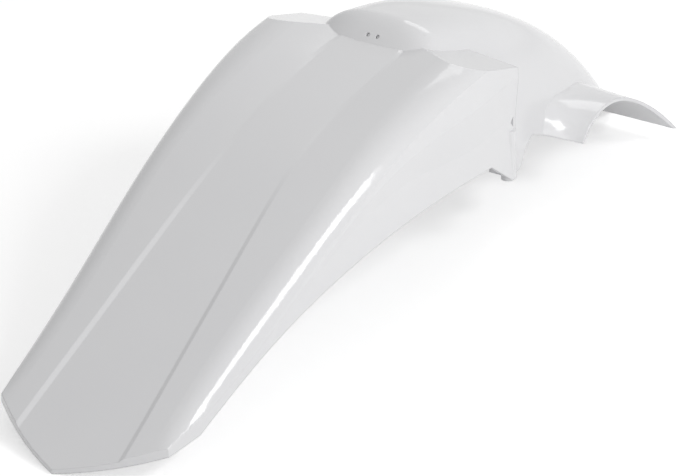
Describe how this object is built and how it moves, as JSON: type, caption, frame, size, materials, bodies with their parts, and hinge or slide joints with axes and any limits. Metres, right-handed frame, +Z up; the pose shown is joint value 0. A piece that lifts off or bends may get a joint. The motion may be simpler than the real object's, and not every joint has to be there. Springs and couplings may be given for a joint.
{
  "type": "motorcycle rear fender",
  "caption": "Moulded off-road motorcycle rear fender: a long tail blade with a V tip, a humped neck over the wheel and a side wing on each side.",
  "frame": {"origin": "centre of the bounding box in plan, at the floor that the fender rests on", "axes": "+X to the rider's right, +Y forward from the tail tip to the neck, +Z up"},
  "size_m": [0.24, 0.704, 0.1742],
  "materials": {
    "white_polypropylene": "gloss moulded, self-coloured white"
  },
  "bodies": {
    "root": {"rear_fender": "white_polypropylene"}
  },
  "joints": []
}
